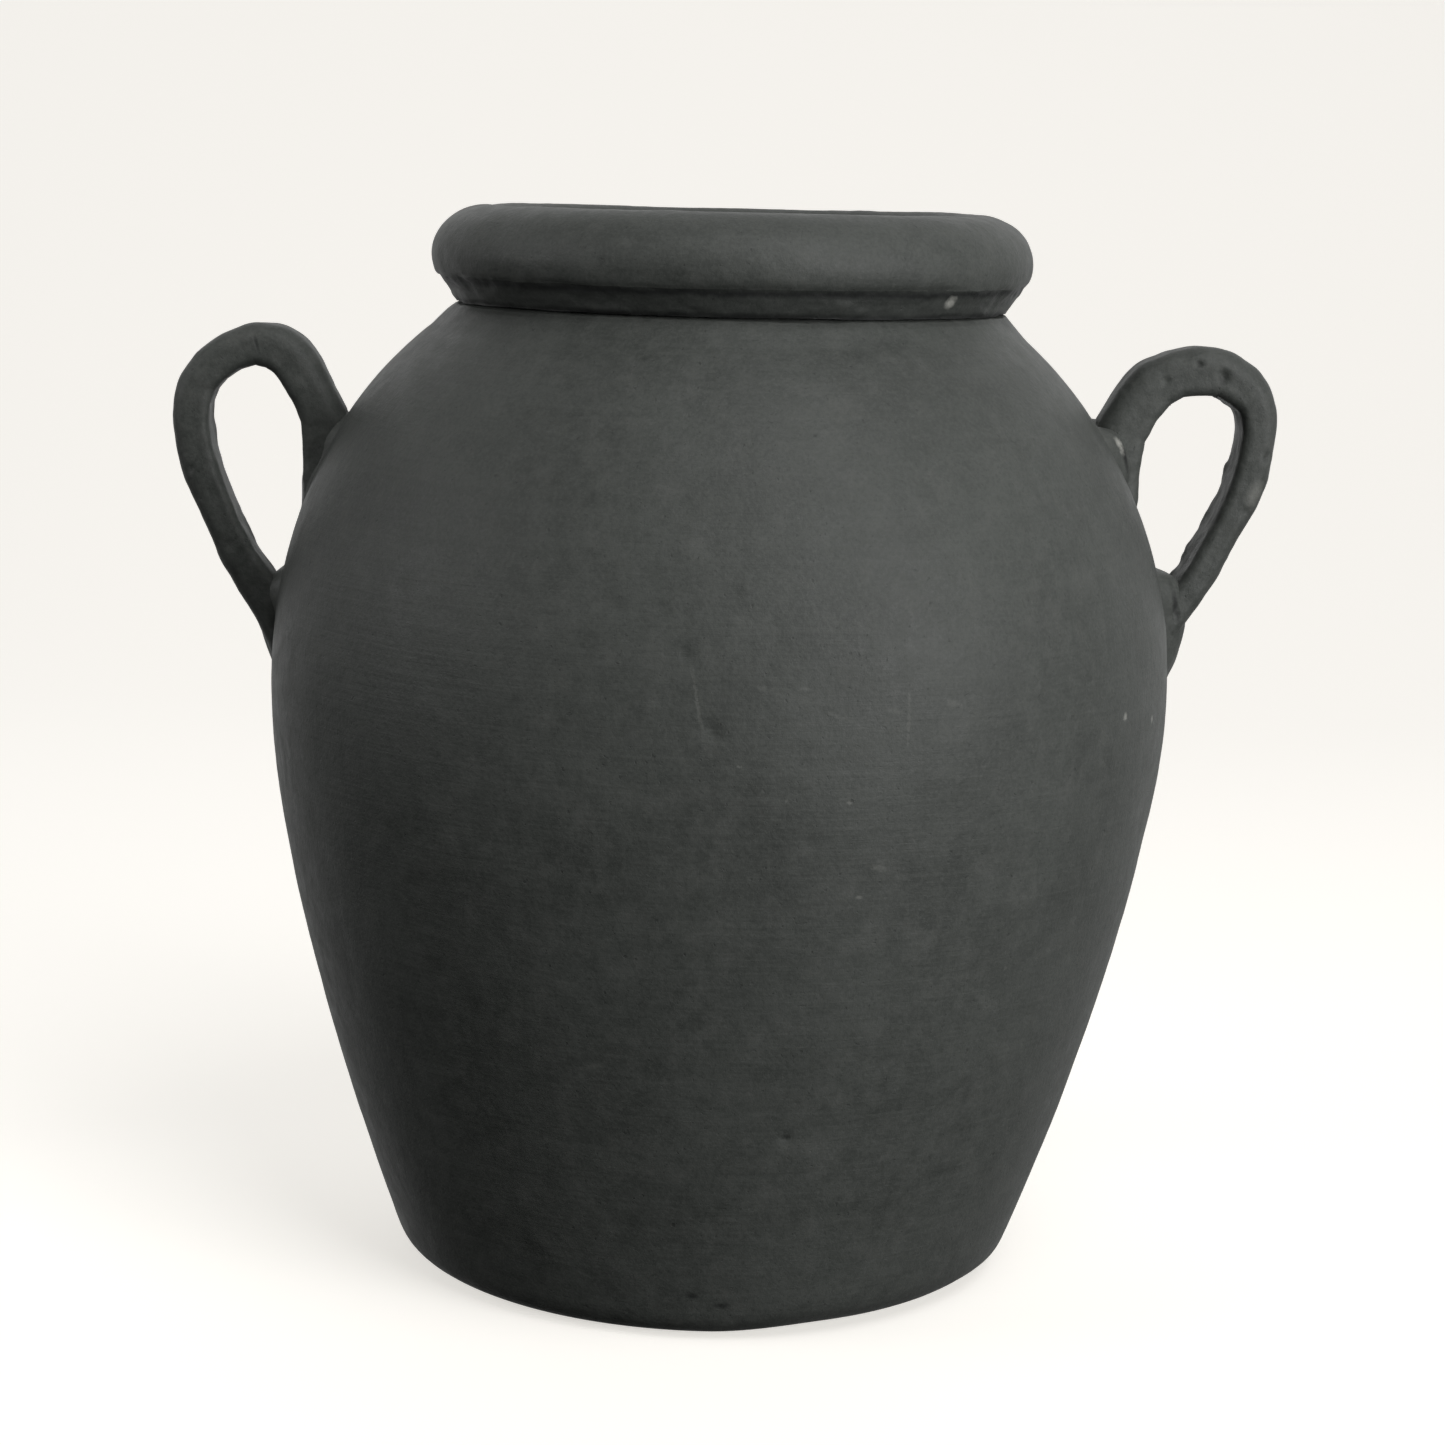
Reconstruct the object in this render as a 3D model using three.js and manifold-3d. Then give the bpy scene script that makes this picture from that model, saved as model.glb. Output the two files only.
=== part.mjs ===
// A matte black clay jar with a rolled rim and two looped strap handles at its shoulders.
// Millimetres, +Z up. The origin is the centre of the flat foot, on the surface it stands on,
// and the handles lie on the X axis.
//
// It is built as a potter builds it: a base disc, a lower wall and a shoulder wall raised on it, a
// flaring neck collar and a rolled rim, luted one on another, then two strap handles, each held by
// a wad of clay pressed round its upper end and another round its lower end.

import * as THREE from 'three';
import { mergeVertices } from 'three/addons/utils/BufferGeometryUtils.js';
import Module from 'manifold-3d';

const wasm = await Module();
wasm.setup();

// ---- Driving dimensions ----------------------------------------------------------------------

const GAP = 0.3; // clearance left between two clay pieces where they meet
const WALL = 8; // thickness of the wall

// How many facets each curve is drawn with.
const ROWS = { lowerWall: 8, shoulder: 11, shoulderInside: 8, footEdge: 5, rim: 14 };
const AROUND_JAR = 64;
const STRAP_FACETS = { outerEdge: 32, fingerHole: 27, rounding: 3 };
const WAD_FACETS = { around: 18, up: 10 };

const FOOT = { flatRadius: 80, edgeRadius: 91, edgeHeight: 7.5, discTop: 12 };
const FOOT_ROUNDING = 88; // the edge's curve bends round a corner at this radius on the table
const BELLY = { radius: 129.4, height: 170, seam: 160 };
const BELLY_TANGENTS = { below: 60, above: 65 }; // how long the wall stays near upright each way
const SHOULDER_END = { radius: 84.9, height: 270 }; // from here the wall runs straight to the neck
const NECK = { radius: 78.6, height: 277, boreRadius: 68, collarRadius: 78.8 };
const COLLAR_TOP = { radius: 83.9, height: 284.7, boreRadius: 61.6 };
const RIM = { crestRadius: 70, outerRadius: 85.8, mouthRadius: 60.5, middle: 291, top: 305 };

const STRAP = { width: 20, edgeRound: 4, sideRound: 6 };
const HANDLES = [
  { name: 'left_handle', side: -1, rootLift: 0, crownLift: 0 },
  { name: 'right_handle', side: 1, rootLift: 6, crownLift: 2.5 },
];
// The handle's outline in its own plane: distance from the jar's axis, height above the foot.
const HANDLE_ROOT = 163;
const HANDLE_CROWN = 268;
const OUTER_EDGE = [
  [107.5, 245], [116.5, 261.5], [133.5, 268], [151.5, 259], [158.6, 239.5],
  [149.4, 208], [139.9, 189.7], [131, 171.5], [124, 148],
];
const FINGER_HOLE = [
  [137.2, 254.3], [128.2, 248.2], [124.4, 236], [124.6, 219], [127.4, 202.5],
  [129.8, 197.6], [134.3, 201.5], [142.8, 219], [148, 241],
];
const INSIDE_WALL = 98; // the outline closes here, inside the jar, where it is trimmed away
// Wads of clay round the strap's two ends, as low mounds lying on the wall.
const WADS = [
  { name: 'upper', height: 229, thickness: 5.5, halfWidth: 17, halfLength: 26 },
  { name: 'lower', height: 180, thickness: 5.5, halfWidth: 16, halfLength: 23 },
];

const BLACK_CLAY = { color: 0x494e4c, roughness: 0.82, metalness: 0 };

// ---- Solids ----------------------------------------------------------------------------------

// A closed geometry as a solid that can be joined and cut.
function toSolid(geometry) {
  const bare = geometry.clone();
  bare.deleteAttribute('normal');
  bare.deleteAttribute('uv');
  const merged = mergeVertices(bare, 1e-4);
  const corners = merged.index.array;
  const triVerts = [];
  for (let i = 0; i < corners.length; i += 3) {
    const [a, b, c] = corners.slice(i, i + 3);
    if (a !== b && b !== c && c !== a) {
      triVerts.push(a, b, c);
    }
  }
  return new wasm.Manifold(new wasm.Mesh({
    numProp: 3,
    vertProperties: new Float32Array(merged.attributes.position.array),
    triVerts: new Uint32Array(triVerts),
  }));
}

function toGeometry(solid) {
  const mesh = solid.getMesh();
  const geometry = new THREE.BufferGeometry();
  geometry.setAttribute('position', new THREE.BufferAttribute(mesh.vertProperties, 3));
  geometry.setIndex(new THREE.BufferAttribute(mesh.triVerts, 1));
  geometry.computeVertexNormals();
  return geometry;
}

// A profile of (radius, height) points, turned about the jar's axis.
function turned(profile) {
  const geometry = new THREE.LatheGeometry(profile, AROUND_JAR);
  geometry.rotateX(Math.PI / 2);
  return toSolid(geometry);
}

// A ring whose profile is a loop.
function turnedRing(profile) {
  return turned([...profile, profile[0].clone()]);
}

function clayMesh(name, solid) {
  const mesh = new THREE.Mesh(toGeometry(solid), new THREE.MeshStandardMaterial(BLACK_CLAY));
  mesh.name = name;
  return mesh;
}

// ---- Wall curves -----------------------------------------------------------------------------

const point = (radius, height) => new THREE.Vector2(radius, height);

// The outside of the jar from the foot's edge to the belly, and from the belly to the neck.
const lowerCurve = new THREE.CubicBezierCurve(
  point(FOOT.edgeRadius, FOOT.edgeHeight),
  point(FOOT.edgeRadius, FOOT.edgeHeight),
  point(BELLY.radius, BELLY.height - BELLY_TANGENTS.below),
  point(BELLY.radius, BELLY.height),
);
const upperCurve = new THREE.CubicBezierCurve(
  point(BELLY.radius, BELLY.height),
  point(BELLY.radius, BELLY.height + BELLY_TANGENTS.above),
  point(SHOULDER_END.radius, SHOULDER_END.height),
  point(SHOULDER_END.radius, SHOULDER_END.height),
);
const outside = new THREE.CurvePath();
outside.add(lowerCurve);
outside.add(upperCurve);
outside.add(new THREE.LineCurve(
  point(SHOULDER_END.radius, SHOULDER_END.height),
  point(NECK.radius, NECK.height),
));

// The outside wall's radius at a height, and the direction in which it faces there.
const CURVE_STEPS = 400;
const outsidePoints = outside.getSpacedPoints(CURVE_STEPS);
function wallAt(height) {
  const above = outsidePoints.findIndex((p) => p.y >= height);
  const next = Math.min(Math.max(above, 1), CURVE_STEPS);
  const low = outsidePoints[next - 1];
  const high = outsidePoints[next];
  const share = (height - low.y) / (high.y - low.y);
  const along = high.clone().sub(low).normalize();
  return {
    place: point(low.x + share * (high.x - low.x), height),
    facing: point(along.y, -along.x),
  };
}

// Points on the wall between two heights, moved out along its facing by an offset.
function wallPoints(from, to, count, offset) {
  const points = [];
  for (let i = 0; i <= count; i += 1) {
    const { place, facing } = wallAt(from + (to - from) * (i / count));
    points.push(place.addScaledVector(facing, offset));
  }
  return points;
}

// ---- The jar's pieces ------------------------------------------------------------------------

function baseDisc() {
  const rounding = new THREE.QuadraticBezierCurve(
    point(FOOT.flatRadius, 0),
    point(FOOT_ROUNDING, 0),
    point(FOOT.edgeRadius, FOOT.edgeHeight),
  );
  return turned([
    point(0, 0),
    ...rounding.getPoints(ROWS.footEdge),
    wallAt(FOOT.discTop).place,
    point(0, FOOT.discTop),
  ]);
}

// A wall between two heights, with level ends. The inside follows the outside at the wall's
// thickness, and its end points are brought level with the ends of the outside.
function wallRing(from, to, count) {
  const outer = wallPoints(from, to, count, 0);
  const inner = wallPoints(from, to, count, -WALL);
  inner[0].y = from;
  inner[count].y = to;
  return turnedRing([...outer, ...inner.reverse()]);
}

function lowerWall() {
  return wallRing(FOOT.discTop + GAP, BELLY.seam - GAP / 2, ROWS.lowerWall);
}

// Its inside leaves the wall's offset near the top, to meet the bore of the neck.
function shoulderWall() {
  const bottom = BELLY.seam + GAP / 2;
  const top = NECK.height;
  const innerTop = SHOULDER_END.height - WALL;
  const outer = wallPoints(bottom, top, ROWS.shoulder, 0);
  const inner = wallPoints(bottom, innerTop, ROWS.shoulderInside, -WALL);
  inner[0].y = bottom;
  return turnedRing([...outer, point(NECK.boreRadius, top), ...inner.reverse()]);
}

function neckCollar() {
  const bottom = NECK.height + GAP;
  const top = COLLAR_TOP.height - GAP / 2;
  return turnedRing([
    point(NECK.collarRadius, bottom),
    point(COLLAR_TOP.radius, top),
    point(COLLAR_TOP.boreRadius, top),
    point(NECK.boreRadius, bottom),
  ]);
}

// Two half ellipses back to back, cut level where the rim sits on the collar.
function rimRoll() {
  const bottom = COLLAR_TOP.height + GAP / 2;
  const halfHeight = RIM.top - RIM.middle;
  const start = Math.asin((bottom - RIM.middle) / halfHeight);
  const profile = [];
  for (let i = 0; i <= ROWS.rim; i += 1) {
    const angle = start + (Math.PI - 2 * start) * (i / ROWS.rim);
    const reach = Math.cos(angle) > 0
      ? RIM.outerRadius - RIM.crestRadius
      : RIM.crestRadius - RIM.mouthRadius;
    profile.push(point(
      RIM.crestRadius + reach * Math.cos(angle),
      RIM.middle + halfHeight * Math.sin(angle),
    ));
  }
  return turnedRing(profile);
}

// Everything inside the jar's outline, grown by an offset, to trim what is pressed on the wall.
function jarCore(offset) {
  const wall = [
    ...wallPoints(FOOT.discTop + GAP, BELLY.seam - GAP / 2, ROWS.lowerWall, offset),
    ...wallPoints(BELLY.seam + GAP / 2, NECK.height, ROWS.shoulder, offset),
  ];
  return turned([point(0, wall[0].y), ...wall, point(0, wall[wall.length - 1].y)]);
}

// ---- Handles ---------------------------------------------------------------------------------

// Places a point of the handle's outline on its side of the jar. A hand-set handle sits a little
// higher or lower than its twin, by one amount at its foot and another at its crown.
function placed([reach, height], handle) {
  const share = (height - HANDLE_ROOT) / (HANDLE_CROWN - HANDLE_ROOT);
  const lift = handle.rootLift + (handle.crownLift - handle.rootLift) * share;
  return point(handle.side * reach, height + lift);
}

// The looped strap, grown by an offset.
function strapLoop(handle, offset) {
  const outer = new THREE.SplineCurve(OUTER_EDGE.map((p) => placed(p, handle)));
  const holePoints = FINGER_HOLE.map((p) => placed(p, handle));
  const hole = new THREE.SplineCurve([...holePoints, holePoints[0].clone()]);
  const insideLow = placed([INSIDE_WALL, OUTER_EDGE[OUTER_EDGE.length - 1][1]], handle);
  const insideHigh = placed([INSIDE_WALL, OUTER_EDGE[0][1] - STRAP.width], handle);
  const shape = new THREE.Shape([...outer.getPoints(STRAP_FACETS.outerEdge), insideLow, insideHigh]);
  shape.holes.push(new THREE.Path(hole.getPoints(STRAP_FACETS.fingerHole).slice(0, -1)));
  const depth = STRAP.width - 2 * STRAP.sideRound;
  const geometry = new THREE.ExtrudeGeometry(shape, {
    depth,
    steps: 1,
    bevelEnabled: true,
    bevelThickness: STRAP.sideRound + offset,
    bevelSize: STRAP.edgeRound,
    bevelOffset: offset - STRAP.edgeRound,
    bevelSegments: STRAP_FACETS.rounding,
  });
  geometry.translate(0, 0, -depth / 2);
  geometry.rotateX(Math.PI / 2);
  return toSolid(geometry);
}

// A wad: a flattened ball lying on the wall, wrapped round the strap.
function wadOf(handle, wad, core, grownStrap) {
  const { place, facing } = wallAt(placed([0, wad.height], handle).y);
  const ball = new THREE.SphereGeometry(1, WAD_FACETS.around, WAD_FACETS.up);
  ball.scale(wad.thickness, wad.halfWidth, wad.halfLength);
  ball.rotateY(-handle.side * Math.atan2(facing.y, facing.x));
  ball.translate(handle.side * place.x, 0, place.y);
  return toSolid(ball).subtract(core).subtract(grownStrap);
}

// ---- Assembly --------------------------------------------------------------------------------

const jar = new THREE.Group();
jar.add(
  clayMesh('base_disc', baseDisc()),
  clayMesh('lower_wall', lowerWall()),
  clayMesh('shoulder_wall', shoulderWall()),
  clayMesh('neck_collar', neckCollar()),
  clayMesh('rim_roll', rimRoll()),
);

const core = jarCore(GAP);
for (const handle of HANDLES) {
  const strap = strapLoop(handle, 0).subtract(core);
  jar.add(clayMesh(handle.name, strap));
  const grownStrap = strapLoop(handle, GAP);
  for (const wad of WADS) {
    jar.add(clayMesh(`${handle.name}_${wad.name}_wad`, wadOf(handle, wad, core, grownStrap)));
  }
}

export default jar;
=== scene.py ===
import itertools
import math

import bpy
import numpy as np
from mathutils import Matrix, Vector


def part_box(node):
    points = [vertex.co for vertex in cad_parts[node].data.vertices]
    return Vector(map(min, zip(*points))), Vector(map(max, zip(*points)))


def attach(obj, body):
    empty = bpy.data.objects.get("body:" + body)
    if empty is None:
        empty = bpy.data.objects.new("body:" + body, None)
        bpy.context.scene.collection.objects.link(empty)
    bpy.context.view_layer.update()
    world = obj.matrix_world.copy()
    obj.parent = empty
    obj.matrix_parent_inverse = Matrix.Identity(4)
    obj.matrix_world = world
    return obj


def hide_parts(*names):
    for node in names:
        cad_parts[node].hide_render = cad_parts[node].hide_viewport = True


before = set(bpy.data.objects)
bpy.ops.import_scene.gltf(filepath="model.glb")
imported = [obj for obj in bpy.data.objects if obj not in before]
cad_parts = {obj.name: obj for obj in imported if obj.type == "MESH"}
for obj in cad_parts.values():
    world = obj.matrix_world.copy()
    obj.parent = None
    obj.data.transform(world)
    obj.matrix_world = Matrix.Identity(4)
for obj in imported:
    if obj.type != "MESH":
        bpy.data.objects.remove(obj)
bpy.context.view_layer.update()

# A matte black clay jar with a rolled rim and two looped strap handles, on a pale floor.
# The shapes are built in millimetres in the frame's axes: +Z up, the handles on X, the front
# towards -Y. The walls, the neck, the rim, the straps and the wads of clay that hold the straps are
# each a closed mesh of its own, and the unevenness of hand-built clay is in its points. The finer
# grain, the wiping marks, the dust and the chips are in the materials.

MM = 0.001


# ---- Sizes -------------------------------------------------------------------------------------

def corners(node):
    """The lowest and highest corners of a CAD node, in millimetres."""
    low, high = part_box(node)
    return np.array(low) / MM, np.array(high) / MM


FOOT_TOP = corners("base_disc")[1][2]
SEAM = (corners("lower_wall")[1][2] + corners("shoulder_wall")[0][2]) / 2
BELLY_RADIUS = corners("shoulder_wall")[1][1]
NECK_HEIGHT = corners("shoulder_wall")[1][2]
COLLAR_RADIUS = corners("neck_collar")[1][1]
COLLAR_TOP = corners("neck_collar")[1][2]
RIM_RADIUS = corners("rim_roll")[1][1]
RIM_TOP = corners("rim_roll")[1][2]

SKIN = 0.5              # the clay is held in by this much, so that its lumps stay in the CAD box
WALL = 8.0              # thickness
BELLY_HEIGHT = 170.0
BELLY_PULLS = (60.0, 65.0)          # how far its roundness reaches down and up
SHOULDER_END = (84.9, 270.0)        # radius and height, as in all that follow with two numbers
NECK_RADIUS = 78.6
NECK_BORE = 68.0
COLLAR_BORE = 61.6
RIM_CREST = 70.0
RIM_MIDDLE = 291.0
MOUTH_RADIUS = 60.5

FOOT_FLAT = 80.0
FOOT_EDGE = (91.0, 7.5)
FOOT_PULLS = [(85.0, 0.6), (89.4, 3.4)]                             # round the foot's edge
UNDERSIDE = [(2.0, 0.6), (30.0, 0.5), (60.0, 0.35), (72.0, 0.15)]   # a little hollow
FLOOR_ROWS = 16
FLOOR_TIP = 0.02        # the innermost row, as a share of the floor's radius

COLUMNS = 640           # points round the jar
OUTLINE_PITCH = 0.5     # between points of the plain outline
ROW_PITCH = 1.4         # between rows of points on the outside
INNER_PITCH = 4.5       # and on the inside
COLLAR_PITCHES = (0.55, 2.0)        # the same two for the collar
RIM_PITCH = 0.8


# ---- Random lumps ------------------------------------------------------------------------------

class Lumps:
    """Smooth seeded noise: a number between -1 and 1 at each point, with lumps of a given size."""

    CELLS = 48

    def __init__(self, seed):
        self.lattice = np.random.default_rng(seed).uniform(-1, 1, (self.CELLS,) * 3)

    def at(self, points, size):
        place = points / np.asarray(size, float)
        cell = np.floor(place).astype(int)
        share = place - cell
        share = share**3 * (share * (share * 6 - 15) + 10)
        total = np.zeros(points.shape[:-1])
        for corner in itertools.product((0, 1), repeat=3):
            weight = np.prod(np.where(corner, share, 1 - share), axis=-1)
            i, j, k = np.moveaxis((cell + corner) % self.CELLS, -1, 0)
            total += weight * self.lattice[i, j, k]
        return total


swell = Lumps(3)
hand = Lumps(11)
grit = Lumps(27)
turning = Lumps(42)


def ramp(value, start, end):
    """0 before start, 1 after end, and a smooth rise between them."""
    share = np.clip((value - start) / (end - start), 0, 1)
    return share * share * (3 - 2 * share)


# ---- Profiles, as points of (radius, height) ---------------------------------------------------

def bezier(a, b, c, d, count=80):
    t = np.linspace(0, 1, count)[:, None]
    a, b, c, d = (np.array(p, float) for p in (a, b, c, d))
    return (1 - t)**3 * a + 3 * (1 - t)**2 * t * b + 3 * (1 - t) * t**2 * c + t**3 * d


def run_along(profile):
    return np.concatenate([[0], np.cumsum(np.hypot(*np.diff(profile, axis=0).T))])


def respaced(profile, pitch, ghosts=0):
    """The profile with its points evenly spaced, and with ghost points continuing each end."""
    profile = np.asarray(profile, float)
    run = run_along(profile)
    count = max(1, round(run[-1] / pitch))
    marks = np.linspace(0, run[-1], count + 1)
    points = np.stack([np.interp(marks, run, profile[:, k]) for k in (0, 1)], axis=1)
    for _ in range(ghosts):
        before = 2 * points[0] - points[1]
        after = 2 * points[-1] - points[-2]
        points = np.concatenate([[before], points, [after]])
    return points


def profile_facing(profile):
    along = np.gradient(profile, axis=0)
    facing = np.stack([along[:, 1], -along[:, 0]], axis=1)
    return facing / np.linalg.norm(facing, axis=1, keepdims=True)


# The outside of the wall from the foot's edge over the belly to the neck.
outline = respaced(
    np.concatenate([
        bezier(
            FOOT_EDGE, FOOT_EDGE,
            (BELLY_RADIUS, BELLY_HEIGHT - BELLY_PULLS[0]), (BELLY_RADIUS, BELLY_HEIGHT),
        ),
        bezier(
            (BELLY_RADIUS, BELLY_HEIGHT), (BELLY_RADIUS, BELLY_HEIGHT + BELLY_PULLS[1]),
            SHOULDER_END, SHOULDER_END,
        )[1:],
        [(NECK_RADIUS, NECK_HEIGHT)],
    ]),
    OUTLINE_PITCH,
)


def wall_radius(height):
    return np.interp(height, outline[:, 1], outline[:, 0])


def outside(low, high, inset=0.0):
    """The outline between two heights, moved in along its facing."""
    moved = outline - profile_facing(outline) * inset
    between = moved[(moved[:, 1] > low + 0.1) & (moved[:, 1] < high - 0.1)]
    ends = [(np.interp(z, moved[:, 1], moved[:, 0]), z) for z in (low, high)]
    return np.concatenate([ends[:1], between, ends[1:]])


def half_ellipse(centre, reach, height, start, end, count=60):
    """An arc of an ellipse, its angles in degrees from outwards to up."""
    angle = np.radians(np.linspace(start, end, count))
    return np.stack([centre[0] + reach * np.cos(angle), centre[1] + height * np.sin(angle)], axis=1)


# ---- Relief of the clay ------------------------------------------------------------------------

# Dents in the outside of the wall: azimuth in degrees from the front, height, radius and depth.
DENTS = [
    (-3.9, 175.6, 1.9, 0.8),
    (8.0, 63.6, 1.6, 0.6),
    (-15.5, 204.8, 1.5, 0.4),
    (-7.4, 194.7, 1.6, 0.4),
    (143.0, 188.0, 2.0, 0.6),
    (171.0, 96.0, 2.4, 0.5),
    (-120.0, 141.0, 1.8, 0.6),
    (-152.0, 214.0, 2.2, 0.5),
]


def round_axis(azimuth, radius, height):
    """A point from its azimuth in degrees from the front, towards +X."""
    angle = math.radians(azimuth)
    return np.array([radius * math.sin(angle), -radius * math.cos(angle), height])


def on_wall(azimuth, height):
    """A point on the outside of the wall."""
    return round_axis(azimuth, wall_radius(height), height)


# Layers of lumps: how high they are, the noise, where it is read, and how big they are, which may
# differ on each axis.
WALL_LUMPS = [
    (0.40, swell, 0, 62),
    (0.20, hand, 0, 25),
    (0.08, hand, 7, 9),
    (0.06, turning, 0, (90, 90, 9)),
    (0.03, grit, 0, 3.5),
]
COLLAR_LUMPS = [
    (0.42, hand, 0, (19, 19, 3.6)),
    (0.294, hand, 5, (8, 8, 2.4)),
    (0.16, grit, 0, (3, 3, 1.8)),
]
RIM_LUMPS = [
    (0.28, swell, 0, 44),
    (0.24, hand, 0, 17),
    (0.10, hand, 0, 7),
    (0.04, grit, 0, 2.6),
    (0.05, turning, 0, (30, 30, 2.4)),
]
CREASE_WANDER = [(0.55, hand, 0, (14, 14, 60)), (0.25, hand, 0, (5, 5, 60))]
CREASE_DEPTH = [(0.60, hand, 13, (11, 11, 60)), (0.30, grit, 0, (3, 3, 60))]
STRAP_LUMPS = [(0.30, hand, 0, 15), (0.20, hand, 3, 6), (0.07, grit, 0, 2.1)]
STRAP_RAGS = [(1.3, hand, 0, 6.5), (1.0, hand, 4, 2.9)]
WAD_LUMPS = [(0.35, hand, 0, 8), (0.15, hand, 9, 3.5)]


def lumpy(points, layers):
    """The height of all the layers together at each point."""
    return sum(height * noise.at(points + shift, size) for height, noise, shift, size in layers)


def hollow(away, radius, depth):
    """The depth of a round-bottomed hollow at a distance from its middle."""
    return depth * np.exp(-(away / radius)**2)


def wall_relief(points):
    """How far the outside of the wall stands out from its plain form, with its wiping marks."""
    wiped = turning.at(points, (38, 38, 2.9)) * (0.6 + 0.4 * swell.at(points + 31, 45))
    out = lumpy(points, WALL_LUMPS) + 0.045 * wiped
    for azimuth, height, radius, depth in DENTS:
        away = np.linalg.norm(points - on_wall(azimuth, height), axis=-1)
        out -= hollow(away, radius, depth)
    return out


def collar_creases(points):
    """The two creases, over and under the collar, where the clay was pressed together."""
    height = points[..., 2] + lumpy(points, CREASE_WANDER)
    uneven = np.maximum(0.75 + lumpy(points, CREASE_DEPTH), 0.1)
    below = hollow(height - NECK_HEIGHT - 0.2, 0.8, 0.5)
    above = hollow(height - COLLAR_TOP + 0.2, 1.0, 0.7)
    return -uneven * (below + above)


def outer_relief(points):
    """The relief of the whole outside. The wall's, collar's and rim's run into each other."""
    height = points[..., 2]
    to_collar = ramp(height, NECK_HEIGHT - 2, NECK_HEIGHT + 1.5)
    to_rim = ramp(height, COLLAR_TOP - 1.5, COLLAR_TOP + 3)
    out = wall_relief(points) * (1 - to_collar) + lumpy(points, COLLAR_LUMPS) * (to_collar - to_rim)
    out += lumpy(points, RIM_LUMPS) * to_rim + collar_creases(points)
    return np.minimum(out, SKIN - 0.02) - SKIN


FINGER_RING = 11.0      # from one finger ring inside the wall to the next


def inner_relief(points):
    """Finger rings left inside the wall, in a slow spiral, fading out in the neck."""
    turns = np.arctan2(points[..., 0], -points[..., 1]) / (2 * math.pi)
    rings = np.sin(2 * math.pi * (points[..., 2] / FINGER_RING + turns))
    rings *= 0.7 + 0.3 * swell.at(points, 40)
    to_rim = ramp(points[..., 2], NECK_HEIGHT - 4, COLLAR_TOP)
    return (0.5 * rings + 0.3 * hand.at(points, 22)) * (1 - to_rim) + outer_relief(points) * to_rim


RIM_DROP = 0.5          # how far the rim's right side is under its full height
RIM_LEAN = 0.9          # and how much further its middle is
LEAN_HEIGHTS = (240.0, 292.0)   # the jar is level under the first and leans fully at the second
FOOT_LIFT = 2.0         # the foot's edge is worn up off the table at its right front
WORN_AZIMUTHS = [(-2, 22), (52, 84)]    # in degrees, where the wear starts and where it ends
WORN_HEIGHTS = (3, 14)


def settle(points):
    """The jar's lean: the rim dips to the left, and the foot's edge lifts at the right front."""
    points = points.copy()
    x, y, z = np.moveaxis(points, -1, 0)
    azimuth = np.degrees(np.arctan2(x, -y))
    out_from_flat = ramp(np.hypot(x, y), FOOT_FLAT - 9, FOOT_EDGE[0] - 2)
    worn = ramp(azimuth, *WORN_AZIMUTHS[0]) * (1 - ramp(azimuth, *WORN_AZIMUTHS[1]))
    lift = FOOT_LIFT * worn * out_from_flat * (1 - ramp(z, *WORN_HEIGHTS))
    dip = (RIM_DROP + RIM_LEAN * (1 - x / RIM_RADIUS)) * ramp(z, *LEAN_HEIGHTS)
    points[..., 2] = z + lift - dip
    return points


# ---- Meshes from rows of points ----------------------------------------------------------------

AZIMUTHS = np.linspace(0, 2 * math.pi, COLUMNS, endpoint=False)    # from -Y towards +X


def turn(profile):
    """The profile turned about Z: rows by columns by 3."""
    radius, height = profile[:, :1], profile[:, 1:]
    around = (radius * np.sin(AZIMUTHS), -radius * np.cos(AZIMUTHS), height)
    return np.stack(np.broadcast_arrays(*around), axis=2)


def grid_normals(points):
    """Normals of a grid of points whose columns go round."""
    across = np.roll(points, -1, axis=1) - np.roll(points, 1, axis=1)
    normals = np.cross(across, np.gradient(points, axis=0))
    return normals / np.maximum(np.linalg.norm(normals, axis=2, keepdims=True), 1e-12)


def sheet(profile, pitch, relief):
    """A turned and roughened sheet: its points and their normals. The normals of its edges are
    those of the surface going on, so that two sheets that meet look like one."""
    rows = respaced(profile, pitch, ghosts=1)
    plain = turn(rows)
    points = settle(plain + turn(profile_facing(rows)) * relief(plain)[..., None])
    return points[1:-1], grid_normals(points)[1:-1]


TONGUE = np.array([0, 0, 1.0])     # how far a joint's ridge stands up


def joint_face(start, end):
    """A sheet across the wall's thickness, with a ridge that the next piece's groove takes."""
    rows = np.stack([
        start,
        start * 0.7 + end * 0.3 + TONGUE,
        start * 0.3 + end * 0.7 + TONGUE,
        end,
    ])
    return rows, grid_normals(rows)


def stacked(sheets, closed):
    """The points, faces and corner normals of sheets laid end to end, each starting on the row
    where the last one ends. A closed stack's last row is its first."""
    last = [] if closed else [sheets[-1][0][-1:]]
    points = np.concatenate([rows[:-1] for rows, _ in sheets] + last)
    count, columns = points.shape[:2]
    here = np.arange(columns)
    beside = np.roll(here, -1)
    faces, normals, first = [], [], 0
    for rows, facing in sheets:
        for row in range(len(rows) - 1):
            low = (first + row) % count * columns
            high = (first + row + 1) % count * columns
            faces.append(np.stack([low + here, low + beside, high + beside, high + here], 1))
            normals.append(np.stack(
                [facing[row], facing[row][beside], facing[row + 1][beside], facing[row + 1]], 1
            ))
        first += len(rows) - 1
    return points.reshape(-1, 3), np.concatenate(faces), np.concatenate(normals)


def solid(name, points, faces, normals=None):
    """A smooth mesh object from points in millimetres, with its own corner normals if given."""
    mesh = bpy.data.meshes.new(name)
    mesh.from_pydata(np.asarray(points) * MM, [], faces)
    mesh.polygons.foreach_set("use_smooth", [True] * len(mesh.polygons))
    if normals is not None:
        mesh.normals_split_custom_set(normals)
    piece = bpy.data.objects.new(name, mesh)
    bpy.context.scene.collection.objects.link(piece)
    return piece


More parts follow.
